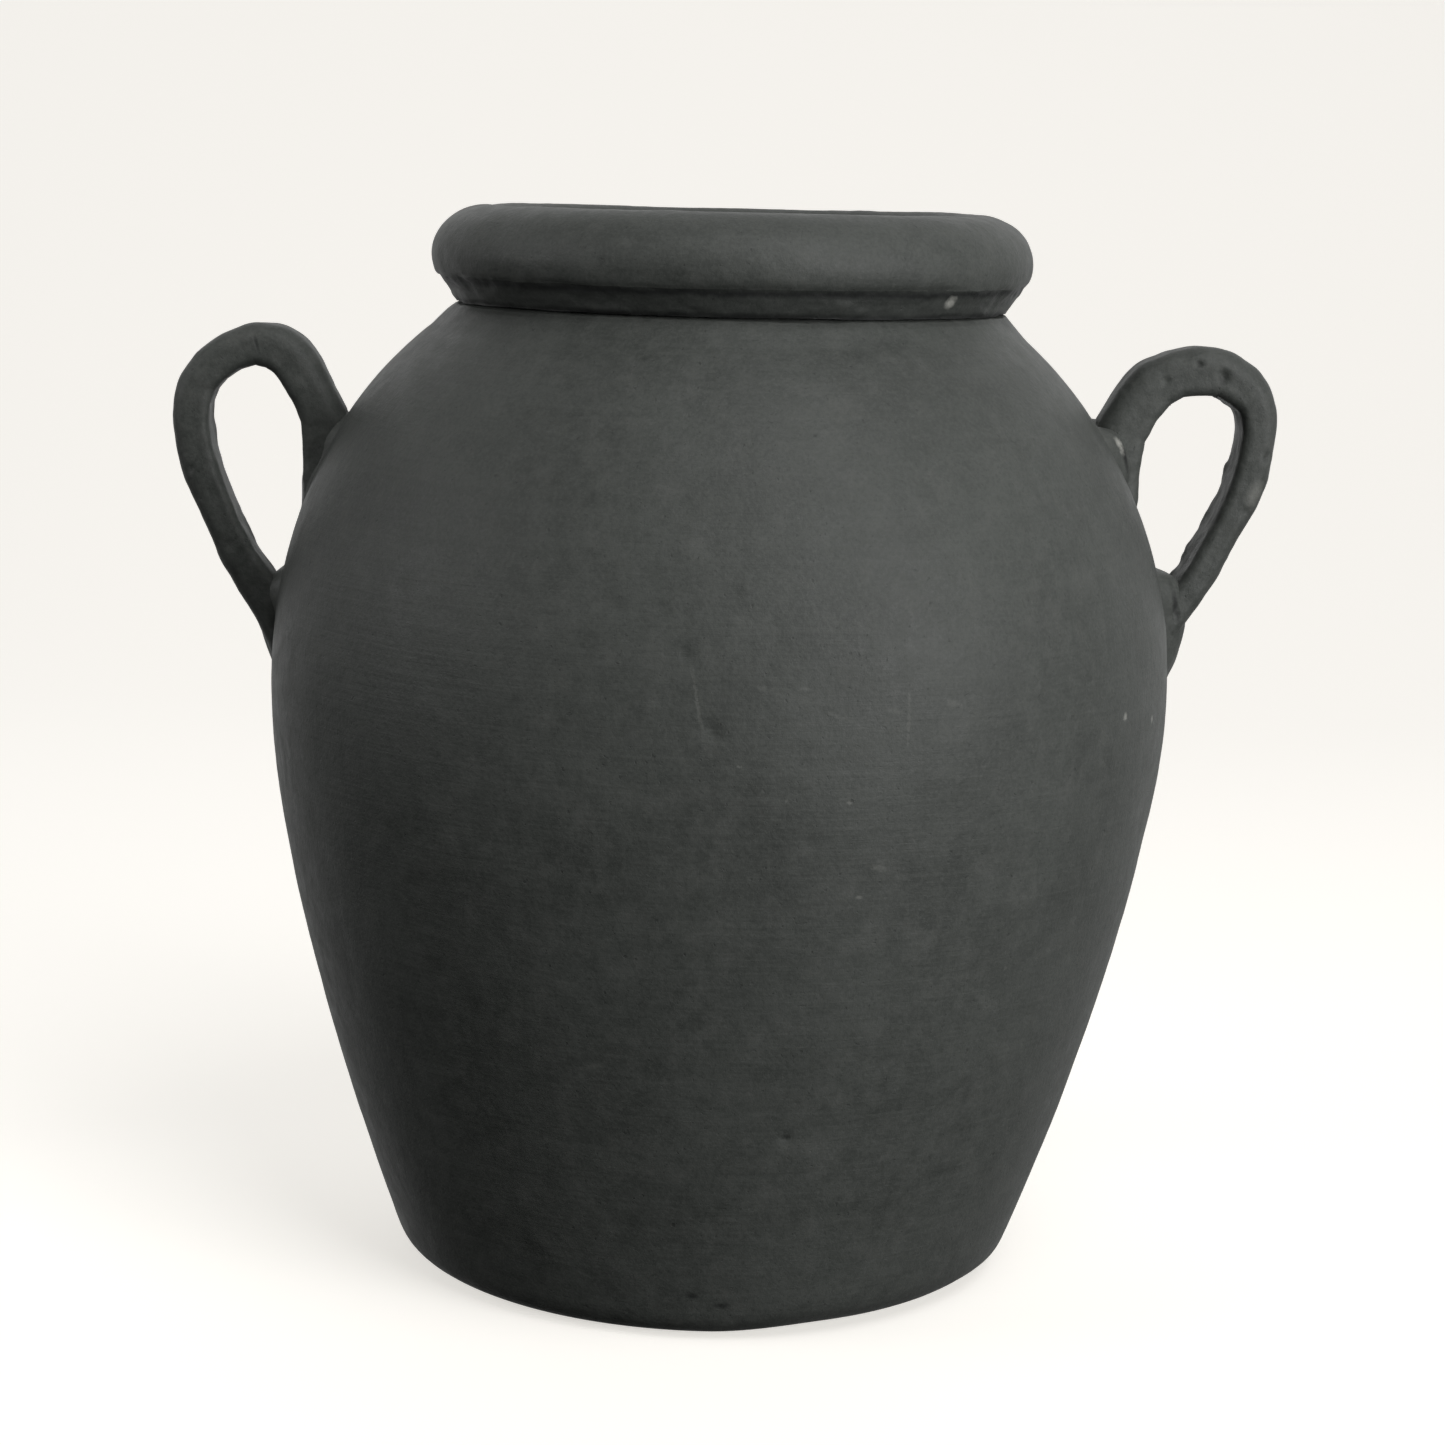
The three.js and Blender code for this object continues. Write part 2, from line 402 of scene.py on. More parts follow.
def ring_solid(name, sheets):
    points, faces, normals = stacked(sheets, closed=True)
    return solid(name, points, faces.tolist(), normals.reshape(-1, 3))


def fan(row, facing, flip):
    """A fan of faces round the middle of a row: the middle, the columns of each face's two points
    on the row, and the faces' corner normals."""
    columns = len(row)
    here, beside = np.arange(columns), np.roll(np.arange(columns), -1)
    if flip:
        here, beside = beside, here
    middle = np.broadcast_to(facing.mean(axis=0), facing.shape)
    return row.mean(axis=0), here, beside, np.stack([facing[here], facing[beside], middle], 1)


def capped_solid(name, sheets):
    """A closed solid of sheets laid end to end, its first and last rows closed to a point."""
    points, faces, normals = stacked(sheets, closed=False)
    columns = sheets[0][0].shape[1]
    count = len(points)
    every, facings, middles = faces.tolist(), [normals.reshape(-1, 3)], []
    ends = ((sheets[0], 0, 0, True), (sheets[-1], -1, count - columns, False))
    for (rows, facing), row, first, flip in ends:
        middle, here, beside, corner_normals = fan(rows[row], facing[row], flip)
        tip = np.full(columns, count + len(middles))
        every += np.stack([first + here, first + beside, tip], 1).tolist()
        facings.append(corner_normals.reshape(-1, 3))
        middles.append(middle)
    return solid(name, np.concatenate([points, middles]), every, np.concatenate(facings))


# ---- The jar -----------------------------------------------------------------------------------

def wall_inside(low, high):
    return outside(low, high, WALL)[::-1]


def ring_piece(name, outer_profile, inner_profile, pitch=ROW_PITCH, inner_pitch=INNER_PITCH):
    """A ring of wall: up its outside, over its top joint, down its inside and back under it."""
    outer = sheet(outer_profile, pitch, outer_relief)
    inner = sheet(inner_profile, inner_pitch, inner_relief)
    over = joint_face(outer[0][-1], inner[0][0])
    under = joint_face(inner[0][-1], outer[0][0])
    return ring_solid(name, [outer, over, inner, under])


def foot_outside():
    """The sheet from the middle of the underside round the foot's edge and up its side."""
    edge = bezier((FOOT_FLAT, 0), *FOOT_PULLS, FOOT_EDGE, 20)
    side = outside(FOOT_EDGE[1], FOOT_TOP)
    profile = respaced(np.concatenate([UNDERSIDE, edge, side[1:]]), ROW_PITCH, ghosts=1)
    plain = turn(profile)
    reach = ramp(profile[:, 1], 1, 7)[:, None]
    relief = outer_relief(plain) * reach - 0.05 * (1 - reach)
    points = settle(plain + turn(profile_facing(profile)) * relief[..., None])
    points[..., 2] = np.maximum(points[..., 2], 0.02)
    return points[1:-1], grid_normals(points)[1:-1]


def base_disc():
    """The disc that the wall stands on, with a rounded edge below and the jar's floor above."""
    outer = foot_outside()
    wall_foot = wall_inside(FOOT_TOP, FOOT_TOP + 20)[-1]
    inner_edge = sheet([wall_foot, wall_foot - [0, 1]], 1, inner_relief)[0][0]
    shares = np.linspace(1, FLOOR_TIP, FLOOR_ROWS + 1)[:, None, None]
    floor = inner_edge * shares + [0, 0, FOOT_TOP] * (1 - shares)
    floor[1:, :, 2] = FOOT_TOP + 0.35 * hand.at(floor, 22)[1:] - 0.3 + 0.3 * shares[1:, :, 0]
    joint = joint_face(outer[0][-1], inner_edge)
    return capped_solid("foot_disc", [outer, joint, (floor, grid_normals(floor))])


def lower_wall():
    return ring_piece("lower_wall_clay", outside(FOOT_TOP, SEAM), wall_inside(FOOT_TOP, SEAM))


def shoulder_wall():
    """The wall's inside leaves the outside's curve near the top, to run into the neck."""
    lower = outside(SEAM, SHOULDER_END[1] - 14, WALL)
    heading = lower[-1] - lower[-2]
    upper = bezier(
        lower[-1], lower[-1] + heading / np.linalg.norm(heading) * 8,
        (NECK_BORE + 1, NECK_HEIGHT - 7), (NECK_BORE, NECK_HEIGHT), 30,
    )
    inside = np.concatenate([lower, upper[1:]])[::-1]
    return ring_piece("shoulder_wall_clay", outside(SEAM, NECK_HEIGHT), inside)


def neck_collar():
    """A short band that hollows in from the neck and flares out under the rim."""
    outer = bezier(
        (NECK_RADIUS, NECK_HEIGHT), (NECK_RADIUS + 0.9, NECK_HEIGHT + 2.0),
        (COLLAR_RADIUS - 3.0, COLLAR_TOP - 2.2), (COLLAR_RADIUS, COLLAR_TOP), 30,
    )
    inner = [(COLLAR_BORE, COLLAR_TOP), (NECK_BORE, NECK_HEIGHT)]
    return ring_piece("neck_collar_clay", outer, inner, *COLLAR_PITCHES)


def rim_roll():
    """The rolled coil: steep outside, round over the top and down into the mouth."""
    centre = (RIM_CREST, RIM_MIDDLE)
    height = RIM_TOP - RIM_MIDDLE
    outer_foot = math.degrees(math.asin((COLLAR_TOP - RIM_MIDDLE) / height))
    outer = half_ellipse(centre, RIM_RADIUS - RIM_CREST, height, outer_foot, 90)
    inner = half_ellipse(centre, RIM_CREST - MOUTH_RADIUS, height, 90, 180 - outer_foot)
    outer[0] = (COLLAR_RADIUS, COLLAR_TOP)
    inner[-1] = (COLLAR_BORE, COLLAR_TOP)
    whole = sheet(np.concatenate([outer, inner[1:]]), RIM_PITCH, outer_relief)
    under = joint_face(whole[0][-1], whole[0][0])
    return ring_solid("rim_roll_clay", [whole, under])


# ---- Strap handles -----------------------------------------------------------------------------

STRAP_HALF_WIDTH = 9.0
OUTER_ROUNDING = (0.85, 5.6)    # of the outer corners: a share of half the thickness, and across
INNER_ROUNDING = (0.5, 2.9)
RAG_FLOOR = 0.15                # how ragged the inner edge is at the front, as a share of the back
STRAP_PITCH = 0.55
STRAP_COLUMNS = 104

# Each strap's middle line from inside the shoulder, over the crown and down into the belly:
# distance from the jar's axis, height and half the strap's thickness.
LEFT_STRAP = [
    (111.6, 212.0, 7.4),
    (112.4, 224.0, 7.9),
    (112.9, 234.0, 7.6),
    (115.0, 242.5, 6.3),
    (117.8, 248.6, 6.0),
    (121.0, 254.2, 6.3),
    (124.4, 258.6, 6.4),
    (128.6, 261.2, 6.4),
    (134.4, 261.9, 5.8),
    (141.0, 259.4, 5.5),
    (146.3, 255.4, 5.6),
    (149.9, 251.0, 5.5),
    (151.7, 245.5, 5.5),
    (152.0, 239.7, 5.5),
    (150.8, 232.0, 5.4),
    (148.5, 224.2, 5.3),
    (145.8, 217.7, 5.1),
    (141.6, 208.3, 5.2),
    (138.4, 201.6, 5.4),
    (133.6, 194.0, 5.8),
    (129.2, 186.6, 5.4),
    (125.8, 178.5, 4.7),
    (122.5, 168.0, 3.6),
]
RIGHT_STRAP = [
    (110.6, 214.0, 7.4),
    (111.4, 225.0, 7.8),
    (111.6, 235.0, 7.7),
    (113.2, 243.4, 7.1),
    (117.0, 251.0, 7.0),
    (122.2, 257.6, 7.1),
    (128.4, 260.8, 6.8),
    (135.4, 262.0, 7.3),
    (142.2, 261.4, 6.9),
    (147.9, 258.0, 6.4),
    (151.5, 254.0, 5.7),
    (152.9, 250.2, 5.5),
    (153.4, 245.6, 5.3),
    (152.8, 238.8, 5.3),
    (151.6, 231.6, 5.4),
    (148.9, 223.8, 5.2),
    (145.8, 217.2, 4.8),
    (142.6, 210.6, 4.9),
    (139.2, 203.6, 4.8),
    (134.8, 196.6, 4.9),
    (130.0, 189.8, 5.0),
    (124.6, 181.0, 4.4),
    (119.6, 172.0, 3.4),
]

# Pits in a strap's front: x, height, radius and depth.
LEFT_PITS = [(-134.0, 265.0, 1.2, 0.4), (-152.0, 226.0, 1.3, 0.4), (-141.0, 205.0, 1.2, 0.3)]
RIGHT_PITS = [
    (133.9, 264.2, 1.1, 0.7),
    (141.3, 260.7, 1.7, 1.0),
    (155.5, 238.0, 1.3, 0.9),
    (124.5, 259.0, 1.2, 0.4),
    (150.0, 222.0, 1.4, 0.5),
]


def smoothed(values, width):
    """Values with their kinks rounded off over a number of them, their ends kept."""
    bell = np.exp(-np.linspace(-2, 2, width)**2)
    padded = np.pad(values, width // 2, mode="reflect", reflect_type="odd")
    return np.convolve(padded, bell / bell.sum(), mode="valid")


def strap_section(half):
    """Points round a strap's section from the middle of its outer face: out and across. The
    corners of its outer face are rounder than those of its inner face."""
    turns = np.radians(np.linspace(0, 90, 9))
    arc = np.stack([np.cos(turns), np.sin(turns)], axis=1)
    outer = np.array([OUTER_ROUNDING[0] * half, OUTER_ROUNDING[1]])
    inner = np.array([INNER_ROUNDING[0] * half, INNER_ROUNDING[1]])
    outer_arc = [half, STRAP_HALF_WIDTH] - outer + outer * arc
    inner_arc = [-half, STRAP_HALF_WIDTH] + inner * [1, -1] + inner * arc[::-1] * [-1, 1]
    upper = np.concatenate([outer_arc, inner_arc])
    loop = np.concatenate([[(half, 0)], upper, upper[::-1] * [1, -1], [(half, 0)]])
    run = run_along(loop)
    marks = np.linspace(0, run[-1], STRAP_COLUMNS, endpoint=False)
    return np.stack([np.interp(marks, run, loop[:, k]) for k in (0, 1)], axis=1)


def strap_line(stations):
    """The strap's middle line in small steps: distance from the axis, height, half the thickness,
    and the way it goes, outwards and upwards."""
    stations = np.array(stations)
    run = run_along(stations[:, :2])
    marks = np.arange(0, run[-1], STRAP_PITCH)
    reach, height, half = (smoothed(np.interp(marks, run, stations[:, k]), 11) for k in range(3))
    along = np.stack([np.gradient(reach), np.gradient(height)], axis=1)
    return reach, height, half, along / np.linalg.norm(along, axis=1, keepdims=True)


def strap(name, side, stations, pits, raggedness):
    """A strap of clay pulled into a loop, its two ends buried in the wall."""
    reach, height, half, along = strap_line(stations)
    sections = np.stack([strap_section(h) for h in half])
    out, across = sections[..., 0], sections[..., 1]
    points = np.stack([
        side * (reach[:, None] - along[:, 1:] * out),
        -side * across,
        height[:, None] + along[:, :1] * out,
    ], axis=2)
    back = ramp(points[..., 1], 3.0, STRAP_HALF_WIDTH) + RAG_FLOOR
    inner_edge = ramp(-out / half[:, None], 0.2, 0.9) * back
    relief = lumpy(points, STRAP_LUMPS) + raggedness * inner_edge * lumpy(points, STRAP_RAGS)
    for x, z, radius, depth in pits:
        away = np.linalg.norm(points - [x, -STRAP_HALF_WIDTH, z], axis=2)
        relief -= hollow(away, radius, depth)
    points += grid_normals(points) * (relief - 0.1)[..., None]
    return capped_solid(name, [(points, grid_normals(points))])


# ---- Wads of clay round the strap ends ---------------------------------------------------------

WAD_COLUMNS = 128
WAD_ROWS = 46
WAD_BURIED = 3.0        # how deep its back is in the wall
WAD_TIP = 0.02          # the innermost row, as a share of the wad's reach


def wall_points(azimuths, heights, lift):
    """Points lifted off the wall's outside, from azimuths in radians."""
    facing = profile_facing(outline)
    face_out, face_up = (np.interp(heights, outline[:, 1], facing[:, k]) for k in (0, 1))
    radius = wall_radius(heights) + face_out * lift
    x, y = radius * np.sin(azimuths), -radius * np.cos(azimuths)
    return np.stack([x, y, heights + face_up * lift], -1)


def wad(name, side, height, up, down, half_width, thickness, groove=None):
    """A smear of clay over a strap's end: thickest in the middle, thinning out on to the wall."""
    share = np.linspace(WAD_TIP, 1, WAD_ROWS)[:, None]
    angle = np.linspace(0, 2 * math.pi, WAD_COLUMNS, endpoint=False)
    rise = -np.sin(angle)
    border = 1 + 0.10 * np.sin(3 * angle + height) + 0.06 * np.sin(5 * angle + side)
    heights = height + share * border * rise * np.where(rise > 0, up, down)
    azimuths = side * math.pi / 2 + share * border * np.cos(angle) * half_width / wall_radius(heights)
    skin = outer_relief(wall_points(azimuths, heights, 0.0))
    plain = wall_points(azimuths, heights, skin)
    start = 0.27 + 0.2 * rise
    bulge = thickness * (1 - ramp(share, start, start + 0.5 + 0.3 * (1 - share))) - 0.5 * share
    lift = skin + bulge + lumpy(plain, WAD_LUMPS) * (1 - ramp(share, 0.7, 1))
    if groove:
        lift -= groove_depth(plain, *groove)
    front = settle(wall_points(azimuths, heights, lift))
    back = settle(wall_points(azimuths, heights, skin - WAD_BURIED))[::-6]
    rows = np.concatenate([front, back])
    return capped_solid(name, [(rows, grid_normals(rows))])


def groove_depth(points, start, end, radius, depth):
    """How deep a cut from start to end is at each point. Start and end are x, y and height."""
    start, end = np.array(start), np.array(end)
    way = end - start
    share = np.clip((points - start) @ way / (way @ way), 0, 1)
    away = np.linalg.norm(points - start - share[..., None] * way, axis=-1)
    return hollow(away, radius, depth) * np.sin(math.pi * np.clip(share, 0.12, 0.88))


# ---- Materials ---------------------------------------------------------------------------------

class Shader:
    """A material, built node by node. Places and sizes are in millimetres of the frame."""

    def __init__(self, name):
        self.material = bpy.data.materials.new(name)
        self.material.use_nodes = True
        self.tree = self.material.node_tree
        self.tree.nodes.clear()
        place = self.add("TexCoord").node.outputs["Object"]
        self.place = self.add("VectorMath", {0: place, 1: (1 / MM,) * 3}, operation="MULTIPLY")

    def add(self, kind, values=None, output=0, **settings):
        made = self.tree.nodes.new("ShaderNode" + kind)
        for key, value in settings.items():
            setattr(made, key, value)
        for key, value in (values or {}).items():
            if isinstance(value, bpy.types.NodeSocket):
                self.tree.links.new(value, made.inputs[key])
            else:
                made.inputs[key].default_value = value
        return made.outputs[output] if made.outputs else made

    def math(self, operation, a, b=0.0):
        return self.add("Math", {0: a, 1: b}, operation=operation)

    def span(self, value, start, end, low=0.0, high=1.0):
        return self.add("MapRange", {0: value, 1: start, 2: end, 3: low, 4: high})

    def mix(self, share, a, b):
        """Two colours mixed."""
        return self.add("Mix", {0: share, 6: a, 7: b}, output=2, data_type="RGBA")

    def noise(self, size, detail=3.0, roughness=0.55, shift=0.0):
        """Noise between about 0.2 and 0.8 with lumps of a size, which may differ on each axis."""
        sizes = size if isinstance(size, tuple) else (size,) * 3
        scaled = self.add(
            "VectorMath", {0: self.place, 1: tuple(1 / s for s in sizes), 2: (shift,) * 3},
            operation="MULTIPLY_ADD",
        )
        values = {"Vector": scaled, "Scale": 1.0, "Detail": detail, "Roughness": roughness}
        return self.add("TexNoise", values)

    def mark(self, place, start, end, radius, soft=0.5):
        """1 inside a spot or a streak between two points, fading to 0 past its edge."""
        start, end = np.array(start, float), np.array(end, float)
        way = Vector(end - start)
        turn_to = way.to_track_quat("Z", "Y").to_euler() if way.length > 0 else (0, 0, 0)
        local = self.add(
            "Mapping",
            {
                "Vector": place, "Location": tuple((start + end) / 2), "Rotation": turn_to,
                "Scale": (radius, radius, radius + way.length / 2),
            },
            vector_type="TEXTURE",
        )
        away = self.add("VectorMath", {0: local}, output=1, operation="LENGTH")
        return self.span(away, 1 - soft, 1 + soft, 1.0, 0.0)

    def marks(self, shapes, shake):
        """The strongest of many marks at each point, their edges shaken by noise."""
        shifts = self.add(
            "TexNoise", {"Vector": self.place, "Scale": 0.8, "Detail": 2.0}, output=1
        )
        shaken = self.add(
            "VectorMath", {0: shifts, 1: (shake,) * 3, 2: self.place}, operation="MULTIPLY_ADD"
        )
        centred = self.add("VectorMath", {0: shaken, 1: (-shake / 2,) * 3}, operation="ADD")
        strongest = 0.0
        for start, end, radius, strength in shapes:
            one = self.math("MULTIPLY", self.mark(centred, start, end, radius), strength)
            strongest = self.math("MAXIMUM", strongest, one)
        return strongest

    def crease(self, height, width):
        """1 along an uneven line round the jar at a height, fading to 0 over the width: where a line
        of painted shade goes. The line leans as the rim does."""
        lean = float(ramp(height, *LEAN_HEIGHTS))
        tilt = (-RIM_LEAN * lean / RIM_RADIUS, 0, 1)
        level = self.add(
            "VectorMath", {0: self.place, 1: tilt}, output=1, operation="DOT_PRODUCT"
        )
        wander = self.math("MULTIPLY", self.noise((9.0, 9.0, 60.0), 4.0, 0.7), CREASE_WAVER)
        middle = height - lean * (RIM_DROP + RIM_LEAN) + CREASE_WAVER / 2
        away = self.math("SUBTRACT", self.math("ADD", level, wander), middle)
        return self.span(self.math("ABSOLUTE", away), 0.15 * width, width, 1.0, 0.0)

    def finish(self, colour, roughness, height):
        """The surface itself. Height is in millimetres."""
        bump = self.add("Bump", {"Strength": 1.0, "Distance": MM, "Height": height})
        surface = self.add("BsdfPrincipled", {
            "Base Color": colour, "Roughness": roughness, "Normal": bump, "IOR": 1.45,
        })
        self.add("OutputMaterial", {"Surface": surface})
        return self.material


DARK_CLAY = (0.0465, 0.051, 0.0465, 1)
MID_CLAY = (0.068, 0.074, 0.068, 1)
PALE_CLAY = (0.096, 0.102, 0.094, 1)
DUST = (0.15, 0.152, 0.143, 1)
CHIP = (0.36, 0.36, 0.33, 1)
# The darkest tone, for dark pores and scratches and for painted shade.
SOOT_AND_PAINTED_SHADE = (0.012, 0.013, 0.013, 1)

SCRATCH_SHAKE = 0.5     # how far noise shakes a mark's edge, in millimetres
CHIP_SHAKE = 1.4
# How dark the painted shade along a crease is.
PAINTED_CREASE_SHADE = 0.85
CREASE_WAVER = 3.0      # how far a crease's line wanders up and down


def spot(azimuth, height, radius, strength):
    place = on_wall(azimuth, height)
    return place, place, radius, strength


def streak(azimuth, height, end_azimuth, end_height, radius, strength):
    return on_wall(azimuth, height), on_wall(end_azimuth, end_height), radius, strength


# Marks on the wall: azimuths in degrees from the front and heights, then radius and strength.
WALL_DUST = [
    spot(55.3, 172.5, 1.1, 0.65),
    spot(65.5, 168.7, 1.0, 0.65),
    spot(37.5, 107.3, 0.8, 0.40),
    spot(-0.7, 166.9, 0.7, 0.35),
    spot(11.4, 172.2, 0.7, 0.30),
    spot(4.8, 158.3, 0.6, 0.25),
    spot(12.0, 157.4, 0.6, 0.25),
    spot(14.1, 132.3, 0.6, 0.25),
    streak(1.0, 187.2, 2.8, 186.2, 0.9, 0.16),
    streak(5.6, 187.0, 7.2, 186.4, 0.8, 0.20),
    streak(9.4, 180.4, 11.4, 179.2, 0.9, 0.16),
    streak(16.0, 181.6, 17.6, 180.6, 0.8, 0.14),
    streak(23.8, 182.6, 25.2, 181.8, 0.8, 0.12),
    streak(-19.6, 82.0, -17.6, 82.8, 0.9, 0.10),
    streak(15.2, 140.4, 17.2, 139.4, 0.8, 0.14),
    streak(-6.9, 196.0, -4.3, 167.5, 0.45, 0.12),
    streak(18.8, 189.0, 18.8, 170.0, 0.45, 0.12),
    streak(120.0, 196.0, 124.0, 194.0, 1.0, 0.2),
    spot(-141.0, 178.0, 1.0, 0.4),
    spot(163.0, 150.0, 0.8, 0.35),
    spot(-170.0, 201.0, 0.8, 0.35),
]
# Dark marks: some are scratches, and those on the dents are painted shade in them.
WALL_SCRATCHES_AND_HOLLOW_SHADE = [
    streak(-29.0, 232.0, -29.0, 224.0, 0.5, 0.2),
    streak(-48.4, 196.0, -48.4, 186.5, 0.5, 0.2),
    streak(-7.8, 277.2, -7.6, 275.2, 0.7, 0.9),
    streak(14.0, 270.3, 18.0, 270.0, 0.5, 0.25),
    streak(26.0, 92.0, 29.0, 88.0, 0.5, 0.15),
    streak(-36.0, 100.0, -33.5, 97.0, 0.5, 0.15),
    streak(-35.5, 42.5, -33.0, 40.5, 0.5, 0.15),
    streak(-4.0, 175.6, -3.8, 175.2, 0.8, 0.9),
    spot(-19.0, 188.5, 0.5, 0.6),
    spot(6.0, 185.4, 0.5, 0.5),
    streak(7.8, 63.6, 8.2, 63.6, 0.9, 0.8),
    streak(-15.6, 205.2, -15.4, 204.4, 0.8, 0.6),
    streak(-4.9, 14.3, -4.2, 14.0, 1.0, 0.7),
    streak(0.0, 11.2, 1.2, 11.1, 1.0, 0.7),
    streak(150.0, 212.0, 148.0, 176.0, 0.45, 0.15),
    streak(-118.0, 120.0, -117.0, 96.0, 0.5, 0.15),
]


def rim_spot(azimuth, radius, height, size, strength):
    place = round_axis(azimuth, radius, height)
    return place, place, size, strength


RIM_CHIPS = [
    rim_spot(43.0, 81.5, 280.9, 1.7, 1.0),
    rim_spot(118.0, 81.0, 280.0, 1.2, 0.8),
]
RIM_SCRATCHES = [
    rim_spot(-27.0, 85.6, 289.6, 0.8, 0.25),
    rim_spot(12.0, 84.6, 296.0, 0.6, 0.25),
]
HANDLE_CHIPS = [
    ((111.0, -11.0, 241.5), (112.2, -10.5, 239.0), 1.0, 1.0),
    ((153.4, -9.2, 228.6), (152.4, -9.2, 225.8), 2.4, 0.30),
    ((-108.8, -9.5, 246.2), (-108.2, -9.5, 245.2), 2.0, 0.35),
]
# Dark marks: a streak on the left strap, and painted shade in the right strap's pits, its slit and
# its crease.
HANDLE_SCRATCHES_AND_HOLLOW_SHADE = [
    ((-134.6, -9.0, 266.5), (-133.0, -9.0, 260.5), 0.45, 0.5),
    ((133.9, -9.0, 264.2), (134.1, -9.0, 264.0), 0.9, 0.7),
    ((141.3, -9.0, 260.4), (141.0, -9.0, 259.6), 1.1, 0.6),
    ((155.5, -9.0, 238.0), (155.5, -9.0, 237.4), 1.0, 0.9),
    ((112.6, -10.6, 240.5), (117.0, -10.2, 229.0), 0.8, 0.9),
    ((129.6, -9.6, 199.0), (133.2, -9.4, 187.0), 0.9, 0.8),
]


class Clay(Shader):
    """Matte black clay: mottled, grainy, wiped with a wet hand, dusty on its high spots, with painted
    shade in hollows, over a whole part and along creases.
    """

    def __init__(self, name, dust_share, wiping, chips, scratches_and_hollow_shade):
        super().__init__(name)
        self.wiping = wiping
        self.blotches = self.span(self.noise(34.0, 4.0, 0.6), 0.36, 0.64)
        self.mottle = self.span(self.noise(5.5, 4.0, 0.65), 0.3, 0.7)
        self.grain = self.noise(1.05, 3.0, 0.75)
        self.pores = self.span(self.noise(1.5, 2.0, 0.5, 3.0), 0.67, 0.77)
        self.wiped = self.noise((46.0, 46.0, 1.5), 4.0, 0.6)
        self.upright = self.noise((4.5, 4.5, 70.0), 3.0, 0.6)
        self.dusty = self.span(self.noise(9.0, 5.0, 0.7, 9.0), 0.5, 0.75, 0.0, dust_share)
        self.scratches_and_shaded_hollows = self.marks(scratches_and_hollow_shade, SCRATCH_SHAKE)
        self.chipped = self.marks(chips, CHIP_SHAKE)

    def tone(self, painted_shade, creases):
        """Its colour. The painted shade darkens all of it towards the darkest tone, and the creases
        get lines of painted shade.
        """
        layers = [
            (self.math("MULTIPLY", self.mottle, 0.55), PALE_CLAY),
            (self.span(self.grain, 0.48, 0.68, 0.0, 0.50), PALE_CLAY),
            (self.span(self.grain, 0.48, 0.34, 0.0, 0.45), DARK_CLAY),
            (self.span(self.wiped, 0.5, 0.72, 0.0, 0.25 * self.wiping), PALE_CLAY),
            (self.span(self.upright, 0.5, 0.3, 0.0, 0.18 * self.wiping), DARK_CLAY),
            (self.dusty, DUST),
            (self.math("MULTIPLY", self.pores, 0.35), SOOT_AND_PAINTED_SHADE),
            # Painted shade over the whole part, for a part that lies in shadow.
            (painted_shade, SOOT_AND_PAINTED_SHADE),
        ]
        # Lines of painted shade along the creases.
        layers += [
            (self.math("MULTIPLY", self.crease(*crease), PAINTED_CREASE_SHADE), SOOT_AND_PAINTED_SHADE) for crease in creases
        ]
        # Dark scratches and painted shade in dents, pits and cracks, then pale chips.
        layers += [(self.scratches_and_shaded_hollows, SOOT_AND_PAINTED_SHADE), (self.chipped, CHIP)]
        tone = self.mix(self.blotches, DARK_CLAY, MID_CLAY)
        for share, colour in layers:
            tone = self.mix(share, tone, colour)
        return tone

    def roughness(self):
        plain = self.span(self.mottle, 0.0, 1.0, 0.50, 0.66)
        return self.math("ADD", plain, self.math("MULTIPLY", self.dusty, 0.2))

    def relief(self):
        """Its finest relief, in millimetres."""
        layers = [
            ("ADD", self.wiped, 0.11 * self.wiping),
            ("ADD", self.noise(2.6, 3.0), 0.14),
            ("SUBTRACT", self.pores, 0.06),
            ("SUBTRACT", self.scratches_and_shaded_hollows, 0.15),
            ("SUBTRACT", self.chipped, 0.15),
        ]
        relief = self.math("MULTIPLY", self.grain, 0.10)
        for operation, field, height in layers:
            relief = self.math(operation, relief, self.math("MULTIPLY", field, height))
        return relief


def clay(name, dust_share, wiping, chips, scratches_and_hollow_shade, painted_shade=0.0, creases=()):
    """A clay material. Its painted shade darkens the whole part, and each crease, a height and a
    width, gets a line of painted shade.
    """
    made = Clay(name, dust_share, wiping, chips, scratches_and_hollow_shade)
    return made.finish(made.tone(painted_shade, creases), made.roughness(), made.relief())


# ---- Stage, light and camera -------------------------------------------------------------------

CAMERA_DISTANCE = 905.0
CAMERA_HEIGHT = 312.0
CAMERA_AZIMUTH = -3.4       # degrees from the front, towards +X
CAMERA_PITCH = 9.8          # looking down
CAMERA_PAN = 0.1
CAMERA_ROLL = 1.9
LENS = 78.5

JAR_MIDDLE = 150.0
SOFTBOX_SIZE = 900.0
SOFTBOX_DISTANCE = 1700.0
# Each softbox's azimuth and elevation in degrees, and its power in watts.
SOFTBOXES = {
    "low_key": (40, 10, 15.7),
    "high_key": (25, 55, 9.9),
    "fill": (-80, 20, 7.0),
}
# The room's glows: azimuth and elevation in degrees, and strength.
GLOWS = [(180, 15, 1.15), (90, 15, 0.25)]
GLOW_EDGE = 0.3         # a glow ends where the cosine to its middle is this

STAGE_GLOW = 0.62
FLOOR_HALF = 2600.0
WALL_START = 900.0
WALL_CURVE = 500.0


def around(azimuth, distance, height):
    """A point in metres from its azimuth in degrees, and distance and height in millimetres."""
    return Vector(round_axis(azimuth, distance, height)) * MM


